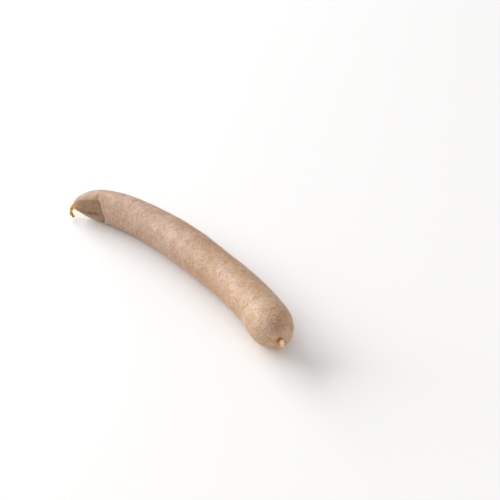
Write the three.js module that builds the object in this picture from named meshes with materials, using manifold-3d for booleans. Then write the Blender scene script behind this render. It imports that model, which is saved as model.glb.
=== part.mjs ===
// A sausage in a natural casing, about 24 cm long and 3 cm thick, gently bowed and lying on its side.
// Its tapered far end is folded where the bend is sharpest, and the dried ends of the casing stay on it:
// a twisted tail at the far tip and a short stub at the rounded near end. All of it is one piece.
// Units are millimetres, +Z is up, the sausage lies along +X, and its outer, bowed side faces +Y.
import * as THREE from 'three';
import { mergeVertices } from 'three/addons/utils/BufferGeometryUtils.js';
import Module from 'manifold-3d';

// Body: its length along the bend, and its heading and radius at even stations from far tip to near end
const LENGTH = 243;
const HEADINGS = [46, 15, 4, -2.5, -5, -14.8, -27];
const RADII = [12.2, 14.05, 14.7, 15.3, 14.6, 14.8, 15.6];
const FAR_TAPER = 26;
const FAR_ROUNDNESS = 1.85;
const NEAR_TAPER = 22.5;
const NEAR_ROUNDNESS = 2.15;
const TIP_AT = [-116.84, -18.16];
const SAG = 0.4;

// Angles round the body start at its outer side: 90 is the top, 180 the inner side of the bend
const CREASE_AT = 37;
const CREASE_ANGLE = 185;
const CREASE_LEAN = 9;
const CREASE_CURVE = 1.3;
const CREASE_HALF_ANGLE = 60;
const SHOULDER = 1.1;
const LEAN_FADE = 30;
const FLAT_ANGLES = [162, 204];
const FLAT_SHARE = 0.84;
const FLAT_EDGE = 40;
const FLAT_START = 0.3;
const LEAST_FACING = 0.1;
const GROOVE_SHARE = 0.5;
const GROOVE_WIDTH = 4;
const LIP = 0.35;
const LIP_PLACE = 1.5;
const VALLEY_DEPTH = 0.35;
const VALLEY_ANGLE = 118;
const VALLEY_REACH = 20;
const VALLEY_WIDTH = 2.2;

// A shallow waist on the inner side, and a dimple that the stub comes out of
const WAIST_AT = 208;
const WAIST_ANGLE = 190;
const WAIST_LENGTH = 8;
const WAIST_DEPTH = 0.7;
const DIMPLE_DEPTH = 1.3;
const DIMPLE_RADIUS = 3.6;
const DIMPLE_RISE = 2;
const DIMPLE_NEARNESS = 0.5;

// Dried casing: strand radii, and routes as [along, outward, up] from the middle of the end they leave
const TAIL_RADIUS = 1.7;
const TAIL_TAPER = 0.3;
const TAIL_FLATNESS = 0.66;
const TAIL_TWIST = 6.5;
const TAIL_ROUTE = [[6, 0, 0.5], [1.2, -0.1, -0.3], [-0.7, 0, -1.9], [-2.1, -0.3, -4.5], [-2.6, -1.6, -7],
  [-1.6, -2.9, -8.9], [0.2, -4.6, -9.8]];
const STRAND_STEP = 0.75;
const SEAM_RADIUS = 1.3;
const SEAM_TAPER = 0.65;
const SEAM_FLATNESS = 0.7;
const SEAM_ROOT = [-0.6, -0.3, -1.9];
const SEAM_STOPS = [[2.5, 206], [9, 191], [18, 185], [29, 181]];
const STUB_RADIUS = 1.6;
const STUB_TAPER = 0.1;
const STUB_ROUTE = [[-4, 0.4, 0.4], [0.2, 0.4, 0.4], [1.3, 0.5, -0.8], [1.5, 0.5, -2.6]];

// Fineness of the mesh: sides round, and rings along the tip, the fold, the crease, the middle and the end
const BODY_SIDES = 48;
const STRAND_SIDES = 10;
const TIP_END = 20;
const TIP_RINGS = 11;
const FOLD_RINGS = 8;
const CREASE_BEFORE = 2;
const CREASE_PAST = 4;
const CREASE_RINGS = 12;
const MIDDLE_RINGS = 30;
const END_RINGS = 11;
const POLE_RADIUS = 0.5;
const FLOOR_BLOCK = [400, 200, 20];

const wasm = await Module();
wasm.setup();

const radians = THREE.MathUtils.degToRad;
const degrees = THREE.MathUtils.radToDeg;

const stations = new THREE.CatmullRomCurve3(
  HEADINGS.map((heading, i) => new THREE.Vector3(i, heading, RADII[i])), false, 'catmullrom', 0.5);

// The axis of the body, walked in steps of one millimetre
const axis = [new THREE.Vector2(...TIP_AT)];
for (let step = 0; step < LENGTH; step += 1) {
  const heading = radians(stations.getPoint((step + 0.5) / LENGTH).y);
  axis.push(axis[step].clone().add(new THREE.Vector2(Math.cos(heading), Math.sin(heading))));
}

// A point of the body's own frame: so far along the axis, outward from it and up from its middle
function bodyPoint(along, outward, up) {
  const near = THREE.MathUtils.clamp(Math.floor(along), 0, LENGTH - 1);
  const station = stations.getPoint(THREE.MathUtils.clamp(along / LENGTH, 0, 1));
  const heading = radians(station.y);
  const spot = axis[near].clone().lerp(axis[near + 1], along - near);
  const rest = station.z - SAG;
  return new THREE.Vector3(
    spot.x - outward * Math.sin(heading), spot.y + outward * Math.cos(heading), rest + up);
}

function rounding(distance, taper, roundness) {
  const left = Math.max(1 - distance / taper, 0);
  return (1 - left ** roundness) ** (1 / roundness);
}

function angleFrom(angle, middle) {
  return THREE.MathUtils.euclideanModulo(angle - middle + 180, 360) - 180;
}

// How deep the two flats of the folded end cut at this angle, from 0 to 1
function flatCut(angle) {
  let sum = 1;
  for (const middle of FLAT_ANGLES) {
    const facing = Math.max(Math.cos(radians(angleFrom(angle, middle))), LEAST_FACING);
    sum += (facing / FLAT_SHARE) ** FLAT_EDGE;
  }
  return (1 - sum ** (-1 / FLAT_EDGE)) / (1 - FLAT_SHARE);
}

// One at no distance, falling to nothing a little beyond the reach
function faded(distance, reach) {
  return Math.exp(-((distance / reach) ** 2));
}

// The fold deepens from the tip to a groove at the crease, and ends there in a steep shoulder
function foldDepth(ring) {
  if (ring < CREASE_AT) {
    const groove = GROOVE_SHARE * faded(ring - CREASE_AT, GROOVE_WIDTH);
    return FLAT_START + (1 - FLAT_START) * ring / CREASE_AT + groove;
  }
  return (1 + GROOVE_SHARE) * (1 - THREE.MathUtils.smoothstep(ring, CREASE_AT, CREASE_AT + SHOULDER));
}

// The shallow dent in which the crease runs out towards the top
function valley(ring, angle) {
  const over = faded(angleFrom(angle, VALLEY_ANGLE), VALLEY_REACH);
  return VALLEY_DEPTH * over * faded(ring - CREASE_AT + VALLEY_WIDTH, VALLEY_WIDTH);
}

// Rings of the mesh lean back round the body, so that one of them runs along the crease
function alongOfRing(ring, angle) {
  const share = Math.min(Math.abs(angleFrom(angle, CREASE_ANGLE)) / CREASE_HALF_ANGLE, 1) ** CREASE_CURVE;
  const follow = ring < CREASE_AT ? ring / CREASE_AT : Math.max(1 - (ring - CREASE_AT) / LEAN_FADE, 0);
  return ring - CREASE_LEAN * share * follow;
}

function skinPoint(ring, angle) {
  const along = alongOfRing(ring, angle);
  const full = stations.getPoint(along / LENGTH).z;
  const farEnd = rounding(along, FAR_TAPER, FAR_ROUNDNESS);
  const nearEnd = rounding(LENGTH - along, NEAR_TAPER, NEAR_ROUNDNESS);
  const cut = flatCut(angle);
  const flat = full * (1 - FLAT_SHARE) * cut * foldDepth(ring);
  const lip = LIP * cut * faded(ring - CREASE_AT - LIP_PLACE * SHOULDER, SHOULDER);
  const facing = Math.max(Math.cos(radians(angleFrom(angle, WAIST_ANGLE))), 0);
  const waist = WAIST_DEPTH * facing * faded(along - WAIST_AT, WAIST_LENGTH);
  const radius = farEnd * nearEnd * (full - flat + lip - waist - valley(ring, angle));
  const outward = radius * Math.cos(radians(angle));
  const up = radius * Math.sin(radians(angle));
  const away = Math.hypot(outward, up - DIMPLE_RISE) + DIMPLE_NEARNESS * (LENGTH - along);
  const dimple = DIMPLE_DEPTH * faded(away, DIMPLE_RADIUS);
  return bodyPoint(along - dimple, outward, up);
}

// Turns a geometry into a manifold solid: shared corners merged, pole slivers dropped
function solid(geometry) {
  geometry.deleteAttribute('normal');
  geometry.deleteAttribute('uv');
  const merged = mergeVertices(geometry, 1e-4);
  const corners = merged.index.array;
  const kept = [];
  for (let i = 0; i < corners.length; i += 3) {
    const [a, b, c] = corners.slice(i, i + 3);
    if (a !== b && b !== c && c !== a) kept.push(a, b, c);
  }
  return new wasm.Manifold(new wasm.Mesh({
    numProp: 3,
    vertProperties: new Float32Array(merged.attributes.position.array),
    triVerts: new Uint32Array(kept),
  }));
}

// A lathed blank along +X, with its rings where they are given and each vertex then put in its place
function shapedRod(rings, sides, place) {
  const last = rings.length - 1;
  const profile = rings.map((ring, i) => new THREE.Vector2(i === 0 || i === last ? 0 : 1, ring));
  const rod = new THREE.LatheGeometry(profile, sides);
  rod.rotateZ(-Math.PI / 2);
  const spots = rod.attributes.position;
  const spot = new THREE.Vector3();
  for (let i = 0; i < spots.count; i += 1) {
    spot.fromBufferAttribute(spots, i);
    const angle = degrees(Math.atan2(spot.z, spot.y));
    const pole = Math.hypot(spot.y, spot.z) < POLE_RADIUS;
    place(spot.x, pole ? 0 : angle, pole).toArray(spots.array, 3 * i);
  }
  return solid(rod);
}

function spread(from, to, count) {
  return Array.from({ length: count }, (_, i) => from + (to - from) * i / count);
}

// Rings bunch up towards a rounded end, as equal steps of a quarter circle do
function bunched(taper, count) {
  return Array.from({ length: count }, (_, i) => taper * (1 - Math.cos(Math.PI * i / (2 * count))));
}

function makeBody() {
  const far = bunched(TIP_END, TIP_RINGS);
  const fold = spread(TIP_END, CREASE_AT - CREASE_BEFORE, FOLD_RINGS);
  const crease = spread(CREASE_AT - CREASE_BEFORE, CREASE_AT + CREASE_PAST, CREASE_RINGS);
  const middle = spread(CREASE_AT + CREASE_PAST, LENGTH - NEAR_TAPER, MIDDLE_RINGS);
  const near = bunched(NEAR_TAPER, END_RINGS).map((distance) => LENGTH - distance).reverse();
  return shapedRod([...far, ...fold, ...crease, ...middle, ...near], BODY_SIDES, skinPoint);
}

// A strand of dried casing: an oval section that may turn as it runs along its route
function makeStrand(route, { radius, taper, flatness = 1, twist = Infinity }) {
  const curve = new THREE.CatmullRomCurve3(route);
  const length = curve.getLength();
  const steps = Math.ceil(length / STRAND_STEP);
  const frames = curve.computeFrenetFrames(steps, false);
  const rings = Array.from({ length: steps + 1 }, (_, i) => i);
  return shapedRod(rings, STRAND_SIDES, (ring, angle, pole) => {
    const index = Math.round(ring);
    const share = index / steps;
    const turn = 360 * share * length / twist;
    const thick = pole ? 0 : radius * (1 - taper * share);
    const across = thick * Math.cos(radians(angle));
    const through = thick * flatness * Math.sin(radians(angle));
    const cos = Math.cos(radians(turn));
    const sin = Math.sin(radians(turn));
    return curve.getPointAt(share)
      .addScaledVector(frames.normals[index], across * cos - through * sin)
      .addScaledVector(frames.binormals[index], across * sin + through * cos);
  });
}

function makeTail() {
  const route = TAIL_ROUTE.map(([along, outward, up]) => bodyPoint(along, outward, up));
  return makeStrand(route, {
    radius: TAIL_RADIUS, taper: TAIL_TAPER, flatness: TAIL_FLATNESS, twist: TAIL_TWIST,
  });
}

// The casing gathers into a raised seam between the two flats of the fold, and runs into the tail
function makeSeam() {
  const stops = SEAM_STOPS.map(([ring, angle]) => skinPoint(ring, angle));
  const route = [bodyPoint(...SEAM_ROOT), ...stops];
  return makeStrand(route, { radius: SEAM_RADIUS, taper: SEAM_TAPER, flatness: SEAM_FLATNESS });
}

function makeStub() {
  const route = STUB_ROUTE.map(([along, outward, up]) => bodyPoint(LENGTH + along, outward, up));
  return makeStrand(route, { radius: STUB_RADIUS, taper: STUB_TAPER });
}

// The floor presses a narrow flat along the underside
function floorBlock() {
  const block = new THREE.BoxGeometry(...FLOOR_BLOCK);
  block.translate(0, 0, -FLOOR_BLOCK[2] / 2);
  return solid(block);
}

function geometryOf(manifold) {
  const mesh = manifold.getMesh();
  const geometry = new THREE.BufferGeometry();
  geometry.setAttribute('position', new THREE.BufferAttribute(mesh.vertProperties, 3));
  geometry.setIndex(new THREE.BufferAttribute(mesh.triVerts, 1));
  geometry.computeVertexNormals();
  return geometry;
}

const whole = makeBody().add(makeTail()).add(makeSeam()).add(makeStub()).subtract(floorBlock());

const casing = new THREE.MeshStandardMaterial({ color: 0xc9a58c, roughness: 0.45, metalness: 0 });
const sausage = new THREE.Mesh(geometryOf(whole), casing);
sausage.name = 'sausage';

const group = new THREE.Group();
group.add(sausage);

export default group;
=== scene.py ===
# %% [markdown]
# # A sausage in a natural casing
#
# The object is one sausage: finely minced meat packed into a length of natural gut.
# It lies on its side and bows gently, its far end is folded where the bend is sharpest, and at
# both ends the gut has dried to a short string where it was twisted shut.
# The solid model gives every size and place. This script puts the looks on it: a skin with the
# meat showing through, the pleats and the fold, the dried strings and the fine fibres of the gut.

# %% Load the solid model
import math

import bpy
import numpy as np
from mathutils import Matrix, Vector
from mathutils.bvhtree import BVHTree


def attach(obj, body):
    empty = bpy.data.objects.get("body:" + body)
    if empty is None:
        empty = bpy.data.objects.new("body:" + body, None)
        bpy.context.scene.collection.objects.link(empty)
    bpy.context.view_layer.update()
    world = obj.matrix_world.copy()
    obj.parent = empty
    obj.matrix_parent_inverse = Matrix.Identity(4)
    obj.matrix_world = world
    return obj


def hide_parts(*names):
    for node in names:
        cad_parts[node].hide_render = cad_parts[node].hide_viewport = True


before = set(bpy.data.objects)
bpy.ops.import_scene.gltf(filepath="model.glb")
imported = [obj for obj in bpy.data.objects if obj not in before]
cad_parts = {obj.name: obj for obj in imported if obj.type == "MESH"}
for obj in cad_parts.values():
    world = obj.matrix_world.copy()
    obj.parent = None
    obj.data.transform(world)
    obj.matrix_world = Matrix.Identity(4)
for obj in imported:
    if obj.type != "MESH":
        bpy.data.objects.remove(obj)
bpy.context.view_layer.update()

# %% [markdown]
# ## The camera
#
# The picture was taken with a normal lens from about half a metre away, looking down at about
# 36 degrees. A camera could be placed by typing its coordinates. It is easier to place it from the
# point that it looks at: a direction, a distance and a turn that makes it look back along that
# direction, because each of the three can then be changed alone.

# %% Make the camera
AIM = Vector((0.0181, 0.0527, 0.0))
AZIMUTH = math.radians(46)
ELEVATION = math.radians(36)
DISTANCE = 0.537
LENS = 50
SENSOR = 36


def direction(azimuth, elevation):
    return Vector((
        math.sin(azimuth) * math.cos(elevation),
        -math.cos(azimuth) * math.cos(elevation),
        math.sin(elevation),
    ))


backwards = direction(AZIMUTH, ELEVATION)
camera = bpy.data.objects.new("camera", bpy.data.cameras.new("camera"))
camera.data.lens = LENS
camera.data.sensor_width = SENSOR
camera.location = AIM + backwards * DISTANCE
camera.rotation_euler = (-backwards).to_track_quat("-Z", "Y").to_euler()
bpy.context.scene.collection.objects.link(camera)
bpy.context.scene.camera = camera
print("camera", round(camera.location.z, 3), "m above the floor")

# %% [markdown]
# ## Node helpers
#
# Blender's materials and its Geometry Nodes are both built from nodes and links, so two small
# functions serve for both: one adds a node with its settings and what feeds its sockets, and one
# feeds a single socket with either a plain value or another node's output.

# %% Add nodes by name
def feed(tree, socket, value):
    if isinstance(value, bpy.types.NodeSocket):
        tree.links.new(value, socket)
    else:
        socket.default_value = value


def add(tree, kind, feeds=None, **settings):
    node = tree.nodes.new(kind)
    for name, value in settings.items():
        setattr(node, name, value)
    for name, value in (feeds or {}).items():
        feed(tree, node.inputs[name], value)
    return node


def calculate(tree, operation, first, second=0.0):
    return add(tree, "ShaderNodeMath", {0: first, 1: second}, operation=operation).outputs[0]


def scaled(tree, vector, factor):
    feeds = {0: vector, "Scale": factor}
    return add(tree, "ShaderNodeVectorMath", feeds, operation="SCALE").outputs[0]


def multiplied(tree, vector, factors):
    feeds = {0: vector, 1: factors}
    return add(tree, "ShaderNodeVectorMath", feeds, operation="MULTIPLY").outputs[0]


def noise(tree, place, size, detail, roughness, seed):
    feeds = {"Vector": place, "Scale": 1 / size, "Detail": detail, "Roughness": roughness, "W": seed}
    return add(tree, "ShaderNodeTexNoise", feeds, noise_dimensions="4D").outputs[0]


def ramp(tree, value, low, high):
    feeds = {"Value": value, "From Min": low, "From Max": high}
    return add(tree, "ShaderNodeMapRange", feeds, interpolation_type="SMOOTHSTEP").outputs[0]


# %% [markdown]
# ## The bend and the thickness
#
# A sausage has no straight axis: its middle line wanders in plan. The line could be drawn by hand
# as a curve. Here it is walked in short steps from the heading at seven even stations, with the
# radius given at the same stations, because then its length stays exact and each bend is one
# number. A cubic curve through the stations keeps both smooth. The ends close like a flattened
# quarter circle, the far one over a longer stretch than the near one.

# %% Describe the body by a few sizes
MM = 0.001
LENGTH = 243 * MM
HEADINGS = [46, 15, 4, -2.5, -5, -14.8, -27]
RADII = [12.2 * MM, 14.05 * MM, 14.7 * MM, 15.3 * MM, 14.6 * MM, 14.8 * MM, 15.6 * MM]
TIP = (-116.84 * MM, -18.16 * MM)
SAG = 0.4 * MM
FAR_TAPER = 26 * MM
FAR_ROUNDNESS = 1.85
NEAR_TAPER = 22.5 * MM
NEAR_ROUNDNESS = 2.15
WALK_STEPS = 972


def smooth_between(stops, share):
    values = np.array([2 * stops[0] - stops[1], *stops, 2 * stops[-1] - stops[-2]], float)
    spot = np.clip(np.asarray(share, float), 0, 1) * (len(stops) - 1)
    first = np.minimum(spot.astype(int), len(stops) - 2)
    part = spot - first
    before, start, end, after = (values[first + step] for step in range(4))
    leaving = (end - before) / 2
    arriving = (after - start) / 2
    cubic = 2 * start - 2 * end + leaving + arriving
    square = 3 * end - 3 * start - 2 * leaving - arriving
    return ((cubic * part + square) * part + leaving) * part + start


def full_radius(along):
    return smooth_between(RADII, along / LENGTH)


def end_rounding(distance, taper, roundness):
    left = np.maximum(1 - distance / taper, 0)
    return np.maximum(1 - left ** roundness, 0) ** (1 / roundness)


def both_ends(along):
    far = end_rounding(along, FAR_TAPER, FAR_ROUNDNESS)
    return far * end_rounding(LENGTH - along, NEAR_TAPER, NEAR_ROUNDNESS)


walked = np.linspace(0, LENGTH, WALK_STEPS + 1)
turning = np.radians(smooth_between(HEADINGS, (walked[1:] + walked[:-1]) / 2 / LENGTH))
walked_x = TIP[0] + np.concatenate([[0], np.cumsum(np.cos(turning))]) * LENGTH / WALK_STEPS
walked_y = TIP[1] + np.concatenate([[0], np.cumsum(np.sin(turning))]) * LENGTH / WALK_STEPS


def body_point(along, outward, up):
    """A place in the body's own frame: along its axis, outward to the bowed side, and up."""
    along = np.asarray(along, float)
    heading = np.radians(smooth_between(HEADINGS, along / LENGTH))
    beyond = along - np.clip(along, 0, LENGTH)
    x = np.interp(along, walked, walked_x) + beyond * np.cos(heading) - outward * np.sin(heading)
    y = np.interp(along, walked, walked_y) + beyond * np.sin(heading) + outward * np.cos(heading)
    z = full_radius(along) - SAG + up
    return np.stack([x, y, z + 0 * x], axis=-1)


print("the near end lies at", np.round(1000 * body_point(LENGTH, 0, 0), 1))

# %% [markdown]
# ## A round body along its axis
#
# The body follows a path, so Geometry Nodes sweep it: a line of points along the axis carries the
# radius and the distance from the tip, a unit circle is swept along it at that radius, and the
# ends close because their rings have no size and are merged. Rings stand closer at the ends,
# where the outline turns fastest. Lathing a straight body and bending it later would stretch the
# outer side of every bend.

# %% Put a line of points along the axis
RING_STEP = 0.46 * MM
END_RINGS = 46
SIDES = 176


def ring_places():
    quarter = 1 - np.cos(np.linspace(0, math.pi / 2, END_RINGS, endpoint=False))
    far = FAR_TAPER * quarter
    near = LENGTH - NEAR_TAPER * quarter[::-1]
    count = int((LENGTH - FAR_TAPER - NEAR_TAPER) / RING_STEP)
    middle = np.linspace(FAR_TAPER, LENGTH - NEAR_TAPER, count, endpoint=False)
    return np.concatenate([far, middle, near])


def line_object(name, lines, attributes):
    """Lines of points, joined point to point, with one list of values for each attribute."""
    points = []
    edges = []
    for line in lines:
        edges += [(len(points) + step, len(points) + step + 1) for step in range(len(line) - 1)]
        points += [tuple(point) for point in line]
    mesh = bpy.data.meshes.new(name)
    mesh.from_pydata(points, edges, [])
    for title, values in attributes.items():
        mesh.attributes.new(title, "FLOAT", "POINT").data.foreach_set("value", np.ravel(values))
    made = bpy.data.objects.new(name, mesh)
    bpy.context.scene.collection.objects.link(made)
    return made


rings = ring_places()
axis_line = line_object("sausage_body", [body_point(rings, 0, 0)], {
    "along": rings,
    "thickness": full_radius(rings) * both_ends(rings),
})
print(len(rings), "rings of", SIDES, "sides")

# %% [markdown]
# ## Trees that end as plain meshes
#
# Every tree here starts with named sizes and ends the same way: shaded smooth, made real and given
# its material. The result is then copied off the modifier as a plain mesh. A live modifier would
# look the same here, but whoever takes the mesh elsewhere needs no node tree this way.

# %% Start a node tree with named sizes
SOCKETS = {int: "NodeSocketInt", float: "NodeSocketFloat", bpy.types.Material: "NodeSocketMaterial"}


def start_tree(name, sizes):
    tree = bpy.data.node_groups.new(name, "GeometryNodeTree")
    tree.interface.new_socket("Geometry", in_out="INPUT", socket_type="NodeSocketGeometry")
    for title, value in sizes.items():
        kind = next(socket for held, socket in SOCKETS.items() if isinstance(value, held))
        tree.interface.new_socket(title, in_out="INPUT", socket_type=kind)
    tree.interface.new_socket("Geometry", in_out="OUTPUT", socket_type="NodeSocketGeometry")
    return tree, tree.nodes.new("NodeGroupInput").outputs


def end_tree(tree, geometry, material):
    smooth = add(tree, "GeometryNodeSetShadeSmooth", {"Geometry": geometry})
    real = add(tree, "GeometryNodeRealizeInstances", {"Geometry": smooth.outputs[0]})
    painted = add(tree, "GeometryNodeSetMaterial", {"Geometry": real.outputs[0], "Material": material})
    add(tree, "NodeGroupOutput", {"Geometry": painted.outputs[0]})


def stored(tree, geometry, title, value, kind="FLOAT"):
    feeds = {"Geometry": geometry, "Name": title, "Value": value}
    node = add(tree, "GeometryNodeStoreNamedAttribute", feeds, data_type=kind, domain="POINT")
    return node.outputs[0]


def named(tree, title, kind="FLOAT"):
    node = add(tree, "GeometryNodeInputNamedAttribute", {"Name": title}, data_type=kind)
    return node.outputs[0]


def grow(host, tree, sizes):
    """Runs the tree on the host object and leaves the result as its plain mesh."""
    modifier = host.modifiers.new("grow", "NODES")
    modifier.node_group = tree
    for item in tree.interface.items_tree:
        if item.in_out == "INPUT" and item.name in sizes:
            modifier[item.identifier] = sizes[item.name]
    state = bpy.context.evaluated_depsgraph_get()
    finished = bpy.data.meshes.new_from_object(
        host.evaluated_get(state), preserve_all_data_layers=True, depsgraph=state)
    host.modifiers.remove(modifier)
    host.data = finished
    finished.name = host.name
    print(host.name, "has", sum(len(face.vertices) - 2 for face in finished.polygons), "triangles")
    return host


# %% Sweep a circle along the axis
JOIN_DISTANCE = 0.002 * MM

skin = bpy.data.materials.new("casing_skin")
body_sizes = {"Sides": SIDES, "Join Distance": JOIN_DISTANCE, "Material": skin}


def unit_circle(tree, sides):
    return add(tree, "GeometryNodeCurvePrimitiveCircle", {"Resolution": sides, "Radius": 1.0})


def sweep_tree():
    tree, given = start_tree("sweep the body", body_sizes)
    curve = add(tree, "GeometryNodeMeshToCurve", {"Mesh": given["Geometry"]})
    upright = add(tree, "GeometryNodeSetCurveNormal", {"Curve": curve.outputs[0]}, mode="Z_UP")
    circle = unit_circle(tree, given["Sides"])
    swept = add(tree, "GeometryNodeCurveToMesh", {
        "Curve": upright.outputs[0],
        "Profile Curve": circle.outputs[0],
        "Scale": named(tree, "thickness"),
    })
    closed = add(tree, "GeometryNodeMergeByDistance", {
        "Geometry": swept.outputs[0],
        "Distance": given["Join Distance"],
    })
    end_tree(tree, closed.outputs[0], given["Material"])
    return tree


body = grow(axis_line, sweep_tree(), body_sizes)


# %% [markdown]
# ## A mesh as arrays
#
# The fold, the waist and the dimple each follow a rule on two numbers: how far along the body a
# point lies, and at which angle round it. A node tree could hold these rules too, but they are
# shorter as arithmetic on arrays, so the points are read out, moved and written back.

# %% Read and write a mesh as arrays
def read_points(piece):
    places = np.zeros(len(piece.data.vertices) * 3, np.float32)
    piece.data.vertices.foreach_get("co", places)
    return places.reshape(-1, 3).astype(float)


def read_values(piece, title):
    values = np.zeros(len(piece.data.vertices), np.float32)
    piece.data.attributes[title].data.foreach_get("value", values)
    return values.astype(float)


def write_points(piece, places):
    piece.data.vertices.foreach_set("co", np.ravel(places).astype(np.float32))
    piece.data.update()


def write_values(piece, title, values):
    if values.ndim == 1:
        kept = piece.data.attributes.new(title, "FLOAT", "POINT")
        kept.data.foreach_set("value", values)
    else:
        kept = piece.data.attributes.new(title, "FLOAT_VECTOR", "POINT")
        kept.data.foreach_set("vector", np.ravel(values))


along = read_values(body, "along")
sideways = read_points(body) - body_point(along, 0, 0)
heading = np.radians(smooth_between(HEADINGS, along / LENGTH))
outward = sideways[:, 1] * np.cos(heading) - sideways[:, 0] * np.sin(heading)
round_radius = np.hypot(outward, sideways[:, 2])
angle = np.degrees(np.arctan2(sideways[:, 2], outward)) % 360
print("largest radius", round(1000 * round_radius.max(), 2), "mm")

# %% [markdown]
# ## The fold at the far end
#
# Where the bend is sharpest the filled gut cannot stretch, so it buckles: two flats sink into the
# inner side, deepen towards a slanted crease and end there at a rounded shoulder. A sculptor
# would push this in by hand. Here it is a rule on the distance along the body and the angle round
# it, so it can be moved or deepened by changing one size.
# Angles start at the outer side of the bend: 90 is the top and 180 the inner side.

# %% Sink the two flats of the fold
CREASE_AT = 37 * MM
CREASE_ANGLE = 185
CREASE_LEAN = 9 * MM
CREASE_CURVE = 1.3
CREASE_HALF_ANGLE = 60
SHOULDER = 1.1 * MM
LEAN_FADE = 30 * MM
FLAT_ANGLES = [162, 204]
FLAT_SHARE = 0.84
FLAT_EDGE = 40
FLAT_START = 0.3
LIP = 0.35 * MM
LIP_PLACE = 1.5
GROOVE_SHARE = 0.5
GROOVE_WIDTH = 4 * MM
VALLEY_DEPTH = 0.35 * MM
VALLEY_ANGLE = 118
VALLEY_REACH = 20
VALLEY_WIDTH = 2.2 * MM
LEAST_FACING = 0.1


def angle_from(angle, middle):
    return (angle - middle + 180) % 360 - 180


def flat_cut(angle):
    total = 1
    for middle in FLAT_ANGLES:
        facing = np.maximum(np.cos(np.radians(angle_from(angle, middle))), LEAST_FACING)
        total = total + (facing / FLAT_SHARE) ** FLAT_EDGE
    return (1 - total ** (-1 / FLAT_EDGE)) / (1 - FLAT_SHARE)


def crease_place(along, angle):
    """The distance along, measured so that the slanted crease lies at CREASE_AT at every angle."""
    share = np.minimum(np.abs(angle_from(angle, CREASE_ANGLE)) / CREASE_HALF_ANGLE, 1) ** CREASE_CURVE
    lean = CREASE_LEAN * share
    before = along / (1 - lean / CREASE_AT)
    after = (along + lean * (1 + CREASE_AT / LEAN_FADE)) / (1 + lean / LEAN_FADE)
    return np.where(before < CREASE_AT, before, np.where(after < CREASE_AT + LEAN_FADE, after, along))


def smooth_step(value, low, high):
    part = np.clip((value - low) / (high - low), 0, 1)
    return part * part * (3 - 2 * part)


def faded(distance, reach):
    """One at no distance, about a third at the reach and almost nothing at twice the reach."""
    return np.exp(-((distance / reach) ** 2))


def fold_depth(place):
    groove = GROOVE_SHARE * faded(place - CREASE_AT, GROOVE_WIDTH)
    rising = FLAT_START + (1 - FLAT_START) * place / CREASE_AT + groove
    falling = (1 + GROOVE_SHARE) * (1 - smooth_step(place, CREASE_AT, CREASE_AT + SHOULDER))
    return np.where(place < CREASE_AT, rising, falling)


def valley(place, angle):
    """The share of the shallow dent in which the crease runs out towards the top."""
    across = faded(angle_from(angle, VALLEY_ANGLE), VALLEY_REACH)
    return across * faded(place - CREASE_AT + VALLEY_WIDTH, VALLEY_WIDTH)


def folded_radius(along, angle):
    place = crease_place(along, angle)
    cut = flat_cut(angle)
    flat = full_radius(along) * (1 - FLAT_SHARE) * cut * fold_depth(place)
    lip = LIP * cut * faded(place - CREASE_AT - LIP_PLACE * SHOULDER, SHOULDER)
    return both_ends(along) * (full_radius(along) - flat + lip - VALLEY_DEPTH * valley(place, angle))


radius = folded_radius(along, angle)
print("the fold is", round(1000 * (round_radius - radius).max(), 2), "mm deep")

# %% [markdown]
# ## Waist, dimple and pleats
#
# The filling is never quite even, so the inner side has a shallow waist near the near end. Where
# the gut was twisted shut it gathers into fine pleats that run into the twist, and the near end
# is drawn in to a dimple. All three could be sculpted. As small cuts in the radius and one push
# along the axis, they follow the body when its bend is changed.

# %% Shape the waist, the dimple and the pleats
WAIST_AT = 208 * MM
WAIST_ANGLE = 190
WAIST_LENGTH = 8 * MM
WAIST_DEPTH = 0.7 * MM
DIMPLE_DEPTH = 1.3 * MM
DIMPLE_RADIUS = 3.6 * MM
DIMPLE_RISE = 2 * MM
DIMPLE_NEARNESS = 0.5
PLEATS = 17
PLEAT_DEPTH = 0.16 * MM
PLEAT_REACH = 5 * MM
PLEAT_START = PLEAT_REACH / 4
PLEAT_UNEVENNESS = 0.35
FAR_PLEAT_TURN = 0.4
NEAR_PLEAT_TURN = 2.1


def waist(along, angle):
    facing = np.maximum(np.cos(np.radians(angle_from(angle, WAIST_ANGLE))), 0)
    return WAIST_DEPTH * facing * faded(along - WAIST_AT, WAIST_LENGTH)


def pleats(distance, angle, turn):
    """Grooves that fade with the distance from the twist and never cross the pole itself."""
    uneven = np.radians(angle) + PLEAT_UNEVENNESS * np.sin(3 * np.radians(angle) + turn)
    wave = 0.5 - 0.5 * np.cos(PLEATS * uneven + turn)
    strength = faded(distance, PLEAT_REACH) * smooth_step(distance, 0, PLEAT_START)
    return PLEAT_DEPTH * wave * strength


def shaped_point(along, angle):
    radius = folded_radius(along, angle) - both_ends(along) * waist(along, angle)
    radius = radius - pleats(along, angle, FAR_PLEAT_TURN)
    radius = radius - pleats(LENGTH - along, angle, NEAR_PLEAT_TURN)
    outward = radius * np.cos(np.radians(angle))
    up = radius * np.sin(np.radians(angle))
    away = np.hypot(outward, up - DIMPLE_RISE) + DIMPLE_NEARNESS * (LENGTH - along)
    dimple = DIMPLE_DEPTH * faded(away, DIMPLE_RADIUS)
    return body_point(along - dimple, outward, up)


write_points(body, shaped_point(along, angle))
print("the body spans", np.round(1000 * np.ptp(read_points(body), axis=0), 1), "mm")

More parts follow.
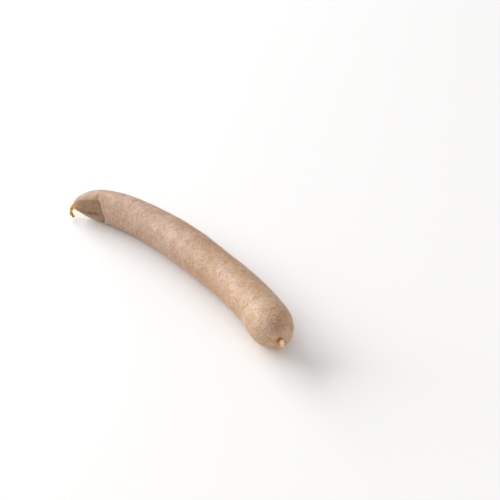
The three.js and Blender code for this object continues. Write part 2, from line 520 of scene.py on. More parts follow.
# %% [markdown]
# ## Meat under the skin
#
# Coarse grains of fat and lean press against the gut from inside, so the skin is gently lumpy and
# never smooth. A bump in the material would leave the outline smooth, so Geometry Nodes move the
# points themselves. The hollows between the lumps are pressed in and the swellings stay where
# they are, so the skin never grows thicker than the solid. The same noise is kept as an
# attribute, so that the pale fat in the material sits exactly on the swellings. It is read in
# straightened coordinates, where the sausage is a straight rod, because then it follows the bend.

# %% Press the skin in between the lumps
GATHER_REACH = 16 * MM
GATHER_STRENGTH = 0.6
near_an_end = faded(along, GATHER_REACH) + faded(LENGTH - along, GATHER_REACH)
write_values(body, "gather", GATHER_STRENGTH * near_an_end)
write_values(body, "unbent", np.stack([
    along,
    full_radius(along) * np.cos(np.radians(angle)),
    full_radius(along) * np.sin(np.radians(angle)),
], axis=-1))

WRINKLE_SQUEEZE = (1, 0.22, 0.22)
NO_SQUEEZE = (1, 1, 1)

lump_sizes = {
    "Lump Size": 9 * MM,
    "Lump Height": 0.42 * MM,
    "Grain Size": 2.6 * MM,
    "Grain Height": 0.15 * MM,
    "Wrinkle Size": 1.5 * MM,
    "Wrinkle Height": 0.07 * MM,
    "Seed": 4.0,
    "Material": skin,
}


def lump_tree():
    tree, given = start_tree("lumps under the skin", lump_sizes)
    place = named(tree, "unbent", "FLOAT_VECTOR")

    def field(size, more_seed, squeeze):
        feeds = {
            "Vector": multiplied(tree, place, squeeze),
            "Scale": calculate(tree, "DIVIDE", 1.0, given[size]),
            "Detail": 1.0,
            "W": calculate(tree, "ADD", given["Seed"], more_seed),
        }
        return add(tree, "ShaderNodeTexNoise", feeds, noise_dimensions="4D").outputs[0]

    lumps = field("Lump Size", 0.0, NO_SQUEEZE)
    grains = field("Grain Size", 5.0, NO_SQUEEZE)
    wrinkles = field("Wrinkle Size", 9.0, WRINKLE_SQUEEZE)
    more = calculate(tree, "ADD", named(tree, "gather"), 1.0)
    gathered = calculate(tree, "MULTIPLY", wrinkles, more)
    depth = 0.0
    heights = ((lumps, "Lump Height"), (grains, "Grain Height"), (gathered, "Wrinkle Height"))
    for value, height in heights:
        hollow = calculate(tree, "SUBTRACT", 1.0, value)
        depth = calculate(tree, "ADD", calculate(tree, "MULTIPLY", hollow, given[height]), depth)
    normal = add(tree, "GeometryNodeInputNormal").outputs[0]
    push = scaled(tree, normal, calculate(tree, "MULTIPLY", depth, -1.0))
    moved = add(tree, "GeometryNodeSetPosition", {"Geometry": given["Geometry"], "Offset": push})
    end_tree(tree, stored(tree, moved.outputs[0], "fat", lumps), given["Material"])
    return tree


grow(body, lump_tree(), lump_sizes)

# %% [markdown]
# ## Lying on the table
#
# Soft meat under its own weight lies on a narrow flat strip and not on a line. A simulation of
# soft meat could find the strip. Letting every point that would sink below the floor stop at the
# floor makes the same strip at once.

# %% Rest the underside on the floor
places = read_points(body)
lowest = places[:, 2].min()
places[:, 2] = np.maximum(places[:, 2], 0)
write_points(body, places)
print("the floor flattens", round(-1000 * lowest, 2), "mm off the underside")

# %% [markdown]
# ## Where the skin changes colour
#
# The skin is browner in the fold, partly a greyer flattened patch and partly painted shade, and is
# painted with shade and a little warm reflected light along both flanks, away from the lit ridge. It is
# dried at the far tip and darker and greyer over the far half, amber round the far twist, and marbled
# with larger pale and brown patches. The crease and the valley get painted shade, the shoulder beyond
# the crease a painted highlight, the near end's cap a painted shade and the dimple round the stub a
# dark amber painted shadow. Each of these places is kept as a number between nothing and one on every
# point of the mesh. A painted image could hold them too, but numbers on the points need no unwrapping
# and move with the shape. The patches that catch the eye are listed one by one.

# %% Keep where the fold gets painted shade and the lip a painted highlight
FOLD_SHOWS = (0.02, 0.3)
FOLD_FADES = (200, 218)
FULLY_SHADED_DEPTH = 0.5
SEAM_SHADE_ANGLE = 188
SEAM_SHADE_REACH = 10
CREASE_SHADE_REACH = 2.5 * MM
VALLEY_SHADE = 0.5
LIP_HIGHLIGHT_BEYOND = 1.8 * MM
LIP_HIGHLIGHT_REACH = 1.2 * MM

# The fold is painted darker, partly as a greyer flattened patch and partly as painted shade, and it is
# painted darker still beside the seam with painted shade.
place = crease_place(along, angle)
deep_enough = np.clip(fold_depth(place) / FULLY_SHADED_DEPTH, 0, 1)
in_fold = smooth_step(flat_cut(angle), *FOLD_SHOWS) * deep_enough
# The crease, and the shallow valley where it runs out, get painted shade.
crease_shade = in_fold * faded(np.minimum(place - CREASE_AT, 0), CREASE_SHADE_REACH)
# The rounded shoulder beyond the crease gets a pale painted highlight.
lip_highlight = flat_cut(angle) * faded(place - CREASE_AT - LIP_HIGHLIGHT_BEYOND, LIP_HIGHLIGHT_REACH)
write_values(body, "fold", in_fold * (1 - smooth_step(angle, *FOLD_FADES)))
write_values(body, "seam_shade", in_fold * faded(angle_from(angle, SEAM_SHADE_ANGLE), SEAM_SHADE_REACH))
write_values(body, "crease", np.maximum(crease_shade, VALLEY_SHADE * valley(place, angle)))
write_values(body, "lip", lip_highlight)
print(int((in_fold > 0.5).sum()), "points lie in the fold")

# %% Keep where the skin is dried, darker over the far half, and painted with shade on its flanks
DRIED_REACH = 28 * MM
FAR_HALF_FROM = (20 * MM, 50 * MM)
FAR_HALF_TO = (90 * MM, 170 * MM)
FLANKS_FROM = (35 * MM, 60 * MM)
FLANKS_TO = (200 * MM, 225 * MM)
LIT_RIDGE_ANGLE = 120
FLANKS_BEYOND = (30, 60)


def between(along, start, end):
    """One on a stretch of the body, rising over the start's two places and falling over the end's."""
    return smooth_step(along, *start) * (1 - smooth_step(along, *end))


from_ridge = np.abs(angle_from(angle, LIT_RIDGE_ANGLE))
write_values(body, "dried", faded(along, DRIED_REACH))
# The far half is laid darker and greyer.
write_values(body, "far_half_darker", between(along, FAR_HALF_FROM, FAR_HALF_TO))
# Both flanks, turned from the lit ridge, get painted shade with a little warm reflected light.
painted_flank_shade = between(along, FLANKS_FROM, FLANKS_TO) * smooth_step(from_ridge, *FLANKS_BEYOND)
write_values(body, "flank_shade", painted_flank_shade)
print(int((painted_flank_shade > 0.5).sum()), "points lie on a browner flank")

# %% Keep where single patches, the cap's painted shade and the dimple's painted shadow lie
PALE_PATCHES = [(67, 125, 6), (134, 131, 8), (152, 130, 5), (162, 132, 4), (176, 150, 6), (204, 145, 5),
                (230, 87, 4), (232, 134, 6)]
BROWN_PATCHES = [(46, 114, 5), (66, 164, 5), (87, 108, 7), (110, 165, 6), (205, 113, 4), (217, 124, 7),
                 (240, 29, 4)]
# A painted shade on the near end's cap, where it faces away from the light.
CAP_SHADE = [(238.6, 96, 6)]
TIP_STAIN_AT = body_point(0.5 * MM, -0.8 * MM, -2 * MM)
TIP_STAIN_REACH = 6 * MM
# A dark amber painted shadow in the dimple round the stub.
ROOT_SHADOW_AT = body_point(LENGTH - 1 * MM, -0.9 * MM, 0.4 * MM)
ROOT_SHADOW_REACH = 1.9 * MM


def distance_to(point):
    return np.linalg.norm(read_points(body) - np.array(point), axis=-1)


def patches(stops):
    """Round patches, each given by its distance along, its angle and its reach."""
    shares = [faded(distance_to(shaped_point(at * MM, turn)), reach * MM) for at, turn, reach in stops]
    return np.max(shares, axis=0)


write_values(body, "pale_patches", patches(PALE_PATCHES))
write_values(body, "brown_patches", patches(BROWN_PATCHES))
write_values(body, "cap_shade", patches(CAP_SHADE))
write_values(body, "tip", faded(distance_to(TIP_STAIN_AT), TIP_STAIN_REACH))
write_values(body, "root", faded(distance_to(ROOT_SHADOW_AT), ROOT_SHADOW_REACH))
print(len(PALE_PATCHES), "pale and", len(BROWN_PATCHES), "brown patches")

# %% [markdown]
# ## Meat seen through gut
#
# Natural gut is a thin, slightly cloudy film. Through it the meat shows as soft patches: tan lean,
# pale pink fat and a brownish speckle, with no hard edges. A photograph of meat would repeat and
# could not follow the fold. Here the colour is built up as a painter glazes: one tint after
# another is laid over the last, each where a noise or a kept number asks for it.

# %% Lay one tint over another
def blended(tree, share, first, second, way="MIX"):
    node = add(tree, "ShaderNodeMix", {0: share, 6: first, 7: second}, data_type="RGBA", blend_type=way)
    return node.outputs[2]


def start_material(material):
    material.use_nodes = True
    tree = material.node_tree
    return tree, tree.nodes["Principled BSDF"]


def attribute(tree, title, output="Fac"):
    return add(tree, "ShaderNodeAttribute", attribute_name=title).outputs[output]


def lay(tree, colour, field, low, high, strength, tint):
    """Lays a tint over the colour wherever the field passes from low to high."""
    share = calculate(tree, "MULTIPLY", ramp(tree, field, low, high), strength)
    return blended(tree, share, colour, tint)


# %% Choose the tints
LEAN_TAN = (0.46, 0.293, 0.158, 1)
PINK_LEAN = (0.54, 0.33, 0.22, 1)
LILAC_FAT = (0.62, 0.455, 0.36, 1)
GOLDEN_FAT = (0.61, 0.375, 0.15, 1)
BROWN_LEAN = (0.28, 0.15, 0.08, 1)
DRIED_BROWN = (0.28, 0.18, 0.115, 1)
FAR_HALF_TINT = (0.40, 0.27, 0.22, 1)
FLANK_SHADE_BROWN = (0.38, 0.17, 0.06, 1)
SHADE_AND_STAIN_BROWN = (0.19, 0.10, 0.05, 1)
MAUVE = (0.23, 0.13, 0.105, 1)
AMBER = (0.62, 0.25, 0.05, 1)
DARK_AMBER = (0.33, 0.12, 0.025, 1)
WHITE_FAT = (0.82, 0.70, 0.58, 1)
PEPPER = (0.08, 0.05, 0.035, 1)

# %% Say how the meat is marbled
# A row of marbling gives which way the noise runs, its size, detail, roughness and seed, the values
# between which the tint comes in, its strength and the tint itself.
LEAN_AND_PINK = (14 * MM, 2.0, 0.6, 214.0)
PINK_COMES_IN = (0.42, 0.62)
COARSE_MARBLING = [
    ("straight", 6 * MM, 3.0, 0.6, 309.0, 0.5, 0.66, 0.38, BROWN_LEAN),
    ("straight", 5 * MM, 3.0, 0.6, 390.0, 0.5, 0.66, 0.5, GOLDEN_FAT),
]
FINE_MARBLING = [
    ("straight", 4 * MM, 2.0, 0.6, 131.0, 0.5, 0.66, 0.45, LILAC_FAT),
    ("straight", 1.5 * MM, 3.0, 0.7, 3.0, 0.5, 0.62, 0.5, BROWN_LEAN),
    ("straight", 1.5 * MM, 3.0, 0.7, 9.0, 0.5, 0.62, 0.5, LILAC_FAT),
    ("straight", 1.1 * MM, 2.0, 0.6, 10.0, 0.54, 0.66, 0.4, GOLDEN_FAT),
    ("crosswise", 0.8 * MM, 2.0, 0.5, 4.0, 0.52, 0.64, 0.45, BROWN_LEAN),
    ("crosswise", 0.8 * MM, 2.0, 0.5, 12.0, 0.54, 0.66, 0.35, LILAC_FAT),
]
# A row of shading gives the kept number that says where, the values between which the tint comes
# in, its strength and the tint itself.
BROAD_SHADES = [
    ("far_half_darker", 0.0, 1.0, 0.6, FAR_HALF_TINT),
    ("fat", 0.46, 0.64, 0.65, LILAC_FAT),
    # The flanks get painted shade with a little warm reflected light.
    ("flank_shade", 0.0, 1.0, 0.34, FLANK_SHADE_BROWN),
    ("pale_patches", 0.0, 1.0, 0.3, LILAC_FAT),
    ("brown_patches", 0.0, 1.0, 0.25, BROWN_LEAN),
]
SPECK_SPACING = 4 * MM
SPECKS_CHOSEN = (0.5, 0.8)
SPECK_CORE = 0.6
PEPPER_SPECK = (0.55 * MM, 1.0)
FAT_SPECK = (0.65 * MM, 5.0)


# %% Marble the meat
def marbled(tree, ways, colour, rows):
    for way, size, detail, roughness, seed, low, high, strength, tint in rows:
        field = noise(tree, ways[way], size, detail, roughness, seed)
        colour = lay(tree, colour, field, low, high, strength, tint)
    return colour


def shaded(tree, colour, rows):
    for title, low, high, strength, tint in rows:
        colour = lay(tree, colour, attribute(tree, title), low, high, strength, tint)
    return colour


def specked(tree, place, colour, size, seed, tint):
    """Puts a small round speck of the tint in some of the pattern's cells."""
    feeds = {"Vector": place, "Scale": 1 / SPECK_SPACING, "W": seed}
    cells = add(tree, "ShaderNodeTexVoronoi", feeds, voronoi_dimensions="4D")
    cell_value = add(tree, "ShaderNodeSeparateColor", {0: cells.outputs["Color"]}).outputs[0]
    chosen = ramp(tree, cell_value, *SPECKS_CHOSEN)
    away = calculate(tree, "MULTIPLY", cells.outputs["Distance"], SPECK_SPACING)
    near = ramp(tree, away, size, SPECK_CORE * size)
    return blended(tree, calculate(tree, "MULTIPLY", near, chosen), colour, tint)


def meat_colour(tree, ways):
    pink = ramp(tree, noise(tree, ways["straight"], *LEAN_AND_PINK), *PINK_COMES_IN)
    colour = blended(tree, pink, LEAN_TAN, PINK_LEAN)
    colour = marbled(tree, ways, colour, COARSE_MARBLING)
    colour = shaded(tree, colour, BROAD_SHADES)
    colour = marbled(tree, ways, colour, FINE_MARBLING)
    colour = specked(tree, ways["straight"], colour, *PEPPER_SPECK, PEPPER)
    return specked(tree, ways["straight"], colour, *FAT_SPECK, WHITE_FAT)


# %% [markdown]
# ## Stains, painted shade and painted highlights
#
# Towards the far tip the gut has dried brown over the meat, a little cloudy. The fold is darker, partly
# a greyer flattened patch and partly painted shade, and lined along its length. Its crease and the
# shallow valley get painted shade, and the shoulder beyond the crease gets a painted highlight. The far
# twist is amber, the dimple round the stub gets a dark amber painted shadow, and a painted shade lies
# on the near end's cap. These could be worked into the marbling. They go on after it, because they lie
# over the meat's pattern.

# %% Say where the stains, painted shade and painted highlights lie
DRIED = [("dried", 0.0, 1.0, 0.72, DRIED_BROWN)]
CLOUDS = (4 * MM, 3.0, 0.6, 21.0)
CLOUDS_COME_IN = (0.42, 0.6)
CLOUD_STRENGTH = 0.22
# The fold's darker tint is partly a greyer flattened patch and partly painted shade. The tint beside
# the seam is painted shade.
FOLD_PAINTED_SHADE = [
    ("fold", 0.0, 1.0, 0.34, SHADE_AND_STAIN_BROWN),
    ("seam_shade", 0.0, 1.0, 0.4, SHADE_AND_STAIN_BROWN),
]
LINES = (0.9 * MM, 2.0, 0.6, 14.0)
LINES_COME_IN = (0.5, 0.64)
LINE_STRENGTH = 0.65
END_STAINS_AND_PAINTED_LIGHT = [
    # Painted shade in the crease, a painted highlight on the shoulder, painted shade on the near end's
    # cap and a dark amber painted shadow in the dimple round the stub. The amber near the far tip is
    # the gut's own colour.
    ("crease", 0.0, 1.0, 0.6, SHADE_AND_STAIN_BROWN),
    ("lip", 0.0, 1.0, 0.5, LILAC_FAT),
    ("cap_shade", 0.0, 1.0, 0.38, MAUVE),
    ("root", 0.1, 0.9, 0.8, DARK_AMBER),
    ("tip", 0.0, 0.6, 0.28, AMBER),
    ("tip", 0.27, 0.86, 0.85, AMBER),
]


def only_where(tree, title, field):
    return calculate(tree, "MULTIPLY", attribute(tree, title), field)


def stained_and_shaded_colour(tree, ways, colour):
    colour = shaded(tree, colour, DRIED)
    clouds = only_where(tree, "dried", noise(tree, ways["straight"], *CLOUDS))
    colour = lay(tree, colour, clouds, *CLOUDS_COME_IN, CLOUD_STRENGTH, LILAC_FAT)
    colour = shaded(tree, colour, FOLD_PAINTED_SHADE)
    lines = only_where(tree, "fold", noise(tree, ways["lengthwise"], *LINES))
    colour = lay(tree, colour, lines, *LINES_COME_IN, LINE_STRENGTH, SHADE_AND_STAIN_BROWN)
    return shaded(tree, colour, END_STAINS_AND_PAINTED_LIGHT)


# %% [markdown]
# ## The gloss of gut
#
# Gut is neither dry nor wet: it has a soft satin gloss that changes from patch to patch, and a
# little light passes into the meat and comes out reddened. One Principled shader does all of it.
# A separate clear coat would give a second, sharper highlight that the real skin doesn't have.

# %% Finish the skin
CROSSWISE = (1, 0.5, 0.5)
LENGTHWISE = (0.2, 1, 1)
GLOSS_PATCHES = (4 * MM, 2.0, 0.5, 6.0)
SMOOTHEST = 0.4
ROUGHEST = 0.56
DRIED_ROUGHER = 0.2
PORES = (0.7 * MM, 3.0, 0.6, 7.0)
PORE_DEPTH = 0.12 * MM


def finish_skin():
    tree, shader = start_material(skin)
    unbent = attribute(tree, "unbent", "Vector")
    ways = {
        "straight": unbent,
        "crosswise": multiplied(tree, unbent, CROSSWISE),
        "lengthwise": multiplied(tree, unbent, LENGTHWISE),
    }
    feed(tree, shader.inputs["Base Color"], stained_and_shaded_colour(tree, ways, meat_colour(tree, ways)))
    gloss = ramp(tree, noise(tree, unbent, *GLOSS_PATCHES), 0.0, 1.0)
    feeds = {"Value": gloss, "To Min": SMOOTHEST, "To Max": ROUGHEST}
    rough = add(tree, "ShaderNodeMapRange", feeds).outputs[0]
    dulled = calculate(tree, "MULTIPLY", attribute(tree, "dried"), DRIED_ROUGHER)
    feed(tree, shader.inputs["Roughness"], calculate(tree, "ADD", rough, dulled))
    shader.inputs["Specular IOR Level"].default_value = 0.45
    shader.inputs["Specular Tint"].default_value = (1.0, 0.87, 0.73, 1)
    shader.inputs["Subsurface Weight"].default_value = 0.2
    shader.inputs["Subsurface Radius"].default_value = (1.0, 0.45, 0.28)
    shader.inputs["Subsurface Scale"].default_value = 2 * MM
    pores = noise(tree, ways["crosswise"], *PORES)
    bump = add(tree, "ShaderNodeBump", {"Height": pores, "Strength": 0.4, "Distance": PORE_DEPTH})
    feed(tree, shader.inputs["Normal"], bump.outputs[0])
    print("the skin's material has", len(tree.nodes), "nodes")


finish_skin()

# %% [markdown]
# ## Dried strings of gut
#
# Beyond the twist there is no meat. The empty gut dries to a stiff amber string: a tail that
# droops to the floor at the far tip, a short stub at the near end, and a seam where it gathers
# between the flats of the fold. Modelled by hand, each would have to be made again whenever its
# path moved. Here one node tree makes them all: it lays flat strands along the path, turns them
# round each other and closes their ends.

# %% Twist strands round a path
dried_gut = bpy.data.materials.new("dried_gut")
string_sizes = {
    "Strands": 2,
    "Coil Radius": 0.5 * MM,
    "Pitch": 8 * MM,
    "Strand Radius": 1.5 * MM,
    "Flatness": 0.75,
    "Taper": 0.35,
    "End Sharpness": 16.0,
    "Step": 0.25 * MM,
    "Sides": 14,
    "Knot Size": 2.2 * MM,
    "Knot Share": 0.7,
    "Join Distance": JOIN_DISTANCE,
    "Seed": 3.0,
    "Material": dried_gut,
}


def string_tree():
    tree, given = start_tree("twisted string", string_sizes)

    def times(first, second):
        return calculate(tree, "MULTIPLY", first, second)

    line = add(tree, "GeometryNodeMeshToCurve", {"Mesh": given["Geometry"]})
    feeds = {"Curve": line.outputs[0]}
    curved = add(tree, "GeometryNodeCurveSplineType", feeds, spline_type="CATMULL_ROM")
    feeds = {"Curve": curved.outputs[0], "Length": given["Step"]}
    even = add(tree, "GeometryNodeResampleCurve", feeds, mode="LENGTH")
    feeds = {"Geometry": even.outputs[0], "Amount": given["Strands"]}
    copies = add(tree, "GeometryNodeDuplicateElements", feeds, domain="SPLINE")
    share, run, _ = add(tree, "GeometryNodeSplineParameter").outputs
    strand = calculate(tree, "DIVIDE", copies.outputs[1], given["Strands"])
    turns = calculate(tree, "ADD", calculate(tree, "DIVIDE", run, given["Pitch"]), strand)
    turn = times(turns, 2 * math.pi)
    thinning = calculate(tree, "SUBTRACT", 1.0, times(share, given["Taper"]))
    coil = times(given["Coil Radius"], thinning)
    normal = add(tree, "GeometryNodeInputNormal").outputs[0]
    tangent = add(tree, "GeometryNodeInputTangent").outputs[0]
    feeds = {0: tangent, 1: normal}
    binormal = add(tree, "ShaderNodeVectorMath", feeds, operation="CROSS_PRODUCT").outputs[0]
    side = scaled(tree, normal, times(coil, calculate(tree, "COSINE", turn)))
    lift = scaled(tree, binormal, times(coil, calculate(tree, "SINE", turn)))
    offset = add(tree, "ShaderNodeVectorMath", {0: side, 1: lift}, operation="ADD").outputs[0]
    knots = add(tree, "ShaderNodeTexNoise", {
        "Vector": add(tree, "GeometryNodeInputPosition").outputs[0],
        "Scale": calculate(tree, "DIVIDE", 1.0, given["Knot Size"]),
        "Detail": 1.0,
        "W": calculate(tree, "ADD", given["Seed"], strand),
    }, noise_dimensions="4D").outputs[0]
    knotted = times(given["Knot Share"], calculate(tree, "SUBTRACT", knots, 0.5))
    uneven = calculate(tree, "ADD", 1.0, knotted)
    from_middle = calculate(tree, "ABSOLUTE", calculate(tree, "SUBTRACT", times(share, 2.0), 1.0))
    sharpened = calculate(tree, "POWER", from_middle, given["End Sharpness"])
    closing = calculate(tree, "SQRT", calculate(tree, "SUBTRACT", 1.0, sharpened))
    thick = times(times(given["Strand Radius"], thinning), times(uneven, closing))
    kept = stored(tree, copies.outputs[0], "share", share)
    for title, value in (("thickness", thick), ("turn", turn)):
        kept = stored(tree, kept, title, value)
    moved = add(tree, "GeometryNodeSetPosition", {"Geometry": kept, "Offset": offset})
    feeds = {"Curve": moved.outputs[0], "Tilt": named(tree, "turn")}
    tilted = add(tree, "GeometryNodeSetCurveTilt", feeds)
    stretch = add(tree, "ShaderNodeCombineXYZ", {0: given["Flatness"], 1: 1.0, 2: 1.0})
    oval = add(tree, "GeometryNodeTransform", {
        "Geometry": unit_circle(tree, given["Sides"]).outputs[0],
        "Scale": stretch.outputs[0],
    })
    swept = add(tree, "GeometryNodeCurveToMesh", {
        "Curve": tilted.outputs[0],
        "Profile Curve": oval.outputs[0],
        "Scale": named(tree, "thickness"),
    })
    closed = add(tree, "GeometryNodeMergeByDistance", {
        "Geometry": swept.outputs[0],
        "Distance": given["Join Distance"],
    })
    end_tree(tree, closed.outputs[0], given["Material"])
    return tree


twisted_string = string_tree()
print(len(twisted_string.nodes), "nodes twist a string")


def make_string(name, lines, material, sizes):
    host = line_object(name, lines, {})
    return grow(host, twisted_string, {**string_sizes, **sizes, "Material": material})


# %% [markdown]
# ## The tail
#
# The tail is two flat strands twisted round each other. It leaves the tip level, droops by its
# own weight and curls back under. Its route is given in the body's own frame, step by step from
# the tip, so that it stays on the tip if the body's bend is changed.

# %% Lay the tail
TAIL_ROUTE = [
    (6, 0, 0.5),
    (1.2, -0.1, -0.3),
    (-0.7, 0, -1.9),
    (-2.1, -0.3, -4.5),
    (-2.6, -1.6, -7),
    (-1.6, -2.9, -8.9),
    (0.2, -4.6, -9.8),
]


def route_points(route, start):
    return [body_point(start + step * MM, side * MM, rise * MM) for step, side, rise in route]


tail = make_string("casing_tail", [route_points(TAIL_ROUTE, 0.0)], dried_gut, {})

# %% [markdown]
# ## The seam in the fold
#
# From the root of the tail the gathered gut runs on as one thick thread along the valley between
# the two flats and dies away in it. It could be a ridge pulled out of the skin. As a strand of
# its own, half sunk in the skin, it has the crisp edge and the darker colour of the real one.

# %% Lay the seam of the fold
SEAM_ROOT = (-0.6, -0.3, -1.9)
SEAM_STOPS = [(2.5, 206), (9, 191), (18, 185), (29, 181)]

gathered_gut = bpy.data.materials.new("gathered_gut")
seam_line = route_points([SEAM_ROOT], 0.0) + [shaped_point(at * MM, turn) for at, turn in SEAM_STOPS]
seam = make_string("casing_seam", [seam_line], gathered_gut, {
    "Strands": 1,
    "Coil Radius": 0.0,
    "Pitch": 40 * MM,
    "Strand Radius": 1.3 * MM,
    "Flatness": 0.8,
    "Taper": 0.65,
    "Knot Size": 2 * MM,
    "Knot Share": 0.5,
    "Seed": 5.0,
})

# %% [markdown]
# ## The stub
#
# At the near end the gut was cut close to its twist, so only a stub of two pale strands stands
# in the dimple and hangs over a little. It starts inside the body, because an end that only
# touches the skin would show a gap from some side.

# %% Lay the stub
STUB_ROUTE = [(-4, 0.4, 0.4), (0.2, 0.4, 0.4), (1.3, 0.5, -0.8), (1.5, 0.5, -2.6)]

pale_gut = bpy.data.materials.new("pale_gut")
stub = make_string("casing_stub", [route_points(STUB_ROUTE, LENGTH)], pale_gut, {
    "Coil Radius": 0.35 * MM,
    "Pitch": 24 * MM,
    "Strand Radius": 1.3 * MM,
    "Flatness": 0.85,
    "Taper": 0.05,
    "End Sharpness": 8.0,
    "Step": 0.2 * MM,
    "Knot Size": 2 * MM,
    "Knot Share": 0.3,
    "Seed": 8.0,
})

# %% [markdown]
# ## The colours of dried gut
#
# Dried gut is amber where it is thick and straw-coloured where it is thin, and light shines through it.
# Its shade changes along the strand, so the colour follows the share of its length that each point
# keeps, and a fine noise makes it uneven. On the stub the change along it is painted light and shade: a
# painted shadow where it leaves the dimple, a lit pale top and a shaded orange end.

# %% Finish the dried gut
GUT_GRAIN = (1.2 * MM, 2.0, 0.6, 1.0)
GRAIN_COMES_IN = (0.35, 0.65)
GRAIN_TINT = (0.8, 0.6, 0.4, 1)


def finish_gut(material, shades, roughness, see_through):
    """Colours the gut along its length. Shades are pairs of a share of the length and a colour."""
    tree, shader = start_material(material)
    place = add(tree, "ShaderNodeTexCoord").outputs["Object"]
    along_it = add(tree, "ShaderNodeValToRGB", {"Fac": attribute(tree, "share")})
    stops = along_it.color_ramp.elements
    while len(stops) < len(shades):
        stops.new(1.0)
    for stop, (share, shade) in zip(stops, shades):
        stop.position = share
        stop.color = shade
    grain = ramp(tree, noise(tree, place, *GUT_GRAIN), *GRAIN_COMES_IN)
    darker = blended(tree, 1.0, along_it.outputs[0], GRAIN_TINT, "MULTIPLY")
    feed(tree, shader.inputs["Base Color"], blended(tree, grain, darker, along_it.outputs[0]))
    shader.inputs["Roughness"].default_value = roughness
    shader.inputs["Subsurface Weight"].default_value = see_through
    shader.inputs["Subsurface Radius"].default_value = (1.0, 0.5, 0.2)
    shader.inputs["Subsurface Scale"].default_value = 1.5 * MM
    print(material.name, "has", len(shades), "shades along it")


TAIL_SHADES = [
    (0.0, (0.86, 0.38, 0.04, 1)),
    (0.75, (0.82, 0.49, 0.09, 1)),
    (1.0, (0.35, 0.17, 0.02, 1)),
]
SEAM_SHADES = [
    (0.0, (0.64, 0.25, 0.03, 1)),
    (0.25, (0.44, 0.18, 0.04, 1)),
    (0.45, (0.20, 0.085, 0.035, 1)),
]
# The stub is painted dark where it leaves the dimple as painted shadow, pale at its top where light
# falls, and orange towards its lower end as painted shade.
STUB_SHADES_AND_PAINTED_LIGHT = [
    (0.45, (0.4, 0.16, 0.04, 1)),
    (0.58, (1.0, 0.85, 0.6, 1)),
    (1.0, (1.0, 0.55, 0.2, 1)),
]

finish_gut(dried_gut, TAIL_SHADES, roughness=0.35, see_through=0.3)
finish_gut(gathered_gut, SEAM_SHADES, roughness=0.4, see_through=0.2)
finish_gut(pale_gut, STUB_SHADES_AND_PAINTED_LIGHT, roughness=0.35, see_through=0.3)

# %% [markdown]
# ## Fibres on the skin
#
# Threads of fat and tiny vessels stay on natural gut. They show as pale, slightly raised lines that
# mostly run round the body. A painted line would have no highlight, so each is a thin tube laid half
# into the skin, by the same tree as the strings. The lines that catch the eye are listed one by one and
# the rest are scattered by a seeded rule. The listed lines are painted paler, partly as painted
# highlight where the skin rises in small folds.

# %% Lay fibres on the skin
SHOWN_FIBRES = [
    [(221, 118), (225, 104), (226, 92), (226, 66)],
    [(226, 111), (228, 126), (230, 140)],
    [(208, 100), (211, 115), (211, 130)],
    [(235, 115), (236, 98), (237, 80)],
    [(208, 176), (210, 152)],
    [(157, 116), (158, 112), (159, 107)],
    [(154, 112), (156, 108)],
    [(172, 128), (174, 142)],
    [(145, 75), (143, 52)],
]
FIBRE_STEPS = 24
FIBRES_SCATTERED = 40
FIBRE_SEED = 11
FIBRE_STOPS = 4
CLEAR_OF_FOLD = 50
CLEAR_OF_NEAR_END = 8
FIBRE_STARTS = (-50, 180)
FIBRE_TURNS = (12, 50)
FIBRE_WANDER = 1.5


def on_skin(stops):
    share = np.linspace(0, 1, FIBRE_STEPS)
    at = smooth_between([stop[0] for stop in stops], share) * MM
    turn = smooth_between([stop[1] for stop in stops], share)
    return [body_surface.find_nearest(Vector(point))[0] for point in shaped_point(at, turn)]


def scattered_fibres():
    """Threads that run mostly round the body and waver as they go."""
    draw = np.random.default_rng(FIBRE_SEED)
    fibres = []
    for _ in range(FIBRES_SCATTERED):
        at = draw.uniform(CLEAR_OF_FOLD, 1000 * LENGTH - CLEAR_OF_NEAR_END)
        turns = draw.uniform(*FIBRE_STARTS) + np.linspace(0, draw.uniform(*FIBRE_TURNS), FIBRE_STOPS)
        wander = np.cumsum(draw.normal(0, FIBRE_WANDER, FIBRE_STOPS))
        fibres.append(list(zip(at + wander, turns)))
    return fibres


body_surface = BVHTree.FromObject(body, bpy.context.evaluated_depsgraph_get())
fibre_gut = bpy.data.materials.new("fibre_gut")
thread_gut_painted_highlight = bpy.data.materials.new("thread_gut_painted_highlight")
fibre_sizes = {
    "Strands": 1,
    "Coil Radius": 0.0,
    "Taper": 0.3,
    "End Sharpness": 2.0,
    "Step": 0.5 * MM,
    "Sides": 7,
    "Knot Size": 2.5 * MM,
    "Knot Share": 1.2,
}
THREAD_RADIUS = 0.35 * MM
FIBRE_RADIUS = 0.22 * MM
threads = make_string("casing_threads", [on_skin(stops) for stops in SHOWN_FIBRES], thread_gut_painted_highlight, {
    **fibre_sizes, "Strand Radius": THREAD_RADIUS})
fibres = make_string("casing_fibres", [on_skin(stops) for stops in scattered_fibres()], fibre_gut, {
    **fibre_sizes, "Strand Radius": FIBRE_RADIUS})

# %% Finish the fibres
def paler_in_the_middle(ends, middle):
    return [(0.0, ends), (0.5, middle), (1.0, ends)]


FIBRE_SHADES = paler_in_the_middle((0.52, 0.35, 0.22, 1), (0.75, 0.55, 0.36, 1))
# The listed threads are painted paler in the middle, partly as painted highlight on small folds of the
# skin.
THREAD_SHADES_WITH_PAINTED_HIGHLIGHT = paler_in_the_middle((0.58, 0.39, 0.25, 1), (0.84, 0.65, 0.46, 1))
finish_gut(fibre_gut, FIBRE_SHADES, roughness=0.4, see_through=0.2)
finish_gut(thread_gut_painted_highlight, THREAD_SHADES_WITH_PAINTED_HIGHLIGHT, roughness=0.4, see_through=0.2)

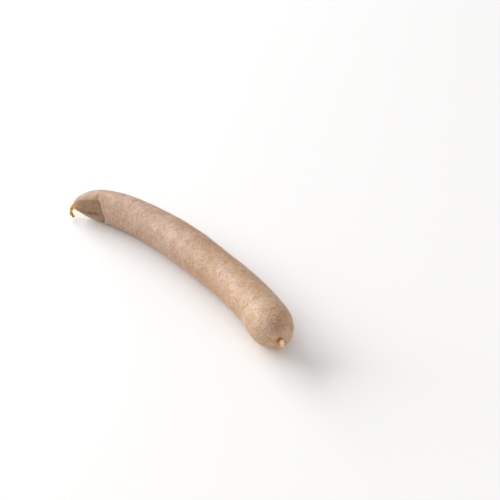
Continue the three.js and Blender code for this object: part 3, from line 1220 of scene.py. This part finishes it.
# %% [markdown]
# ## Floor and light
#
# The sausage was photographed on a white table under a very soft light, so its shadows are faint
# and its shaded side is filled by the bright floor. One lamp alone would leave hard shadows, and
# a bright world alone none. So a large low lamp on the left, somewhat behind the sausage, works as
# a window does, a weak one near the camera and a faint warm one on the right open its shadows, and
# a bright world fills the rest.

# %% Make the floor
FLOOR_HALF = 2
TABLE_WHITE = (0.93, 0.93, 0.93, 1)
TABLE_ROUGHNESS = 0.6

floor_corners = [(x * FLOOR_HALF, y * FLOOR_HALF, 0) for x, y in ((-1, -1), (1, -1), (1, 1), (-1, 1))]
floor_mesh = bpy.data.meshes.new("floor")
floor_mesh.from_pydata(floor_corners, [], [(0, 1, 2, 3)])
floor = bpy.data.objects.new("floor", floor_mesh)
bpy.context.scene.collection.objects.link(floor)
white_table = bpy.data.materials.new("white_table")
table_shader = start_material(white_table)[1]
table_shader.inputs["Base Color"].default_value = TABLE_WHITE
table_shader.inputs["Roughness"].default_value = TABLE_ROUGHNESS
floor_mesh.materials.append(white_table)
print("the floor is", 2 * FLOOR_HALF, "m wide")

# %% Hang the lamps
# Each lamp has a name, the direction it hangs in, its width and height in metres, its brightness
# and its tint. Brightness is what a white surface that faces it would show, with 1 for pure white.
LAMP_DISTANCE = 5
WHITE = (1, 1, 1)
WARM = (1, 0.7, 0.45)
LAMPS = [
    ("window", 278, 22, 5.2, 2.8, 1.5, WHITE),
    ("front_fill", 40, 40, 4.8, 3.2, 0.16, WHITE),
    ("warm_side", 105, 12, 3.2, 1.2, 0.14, WARM),
]
WORLD_BRIGHTNESS = 0.5


def add_lamp(name, azimuth, elevation, width, height, brightness, tint):
    towards = direction(math.radians(azimuth), math.radians(elevation))
    lamp = bpy.data.objects.new(name, bpy.data.lights.new(name, "AREA"))
    lamp.data.shape = "RECTANGLE"
    lamp.data.size = width
    lamp.data.size_y = height
    lamp.data.color = tint
    lamp.data.energy = brightness * math.pi ** 2 * LAMP_DISTANCE ** 2
    lamp.location = towards * LAMP_DISTANCE
    lamp.rotation_euler = towards.to_track_quat("Z", "Y").to_euler()
    bpy.context.scene.collection.objects.link(lamp)


for lamp in LAMPS:
    add_lamp(*lamp)
world = bpy.data.worlds.new("bright_studio")
world.use_nodes = True
world.node_tree.nodes["Background"].inputs["Color"].default_value = (*WHITE, 1)
world.node_tree.nodes["Background"].inputs["Strength"].default_value = WORLD_BRIGHTNESS
bpy.context.scene.world = world
bpy.context.scene.view_settings.view_transform = "Standard"
print(len(LAMPS), "lamps")

# %% [markdown]
# ## Joining the solid model
#
# The frame has one body, and its one solid is the whole sausage. Every piece rides on that body
# and takes the place of that solid, so nothing of the plain solid shows any more.

# %% Hand the pieces to the frame
for piece in (body, tail, seam, stub, threads, fibres):
    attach(piece, "root")
    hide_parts("sausage")
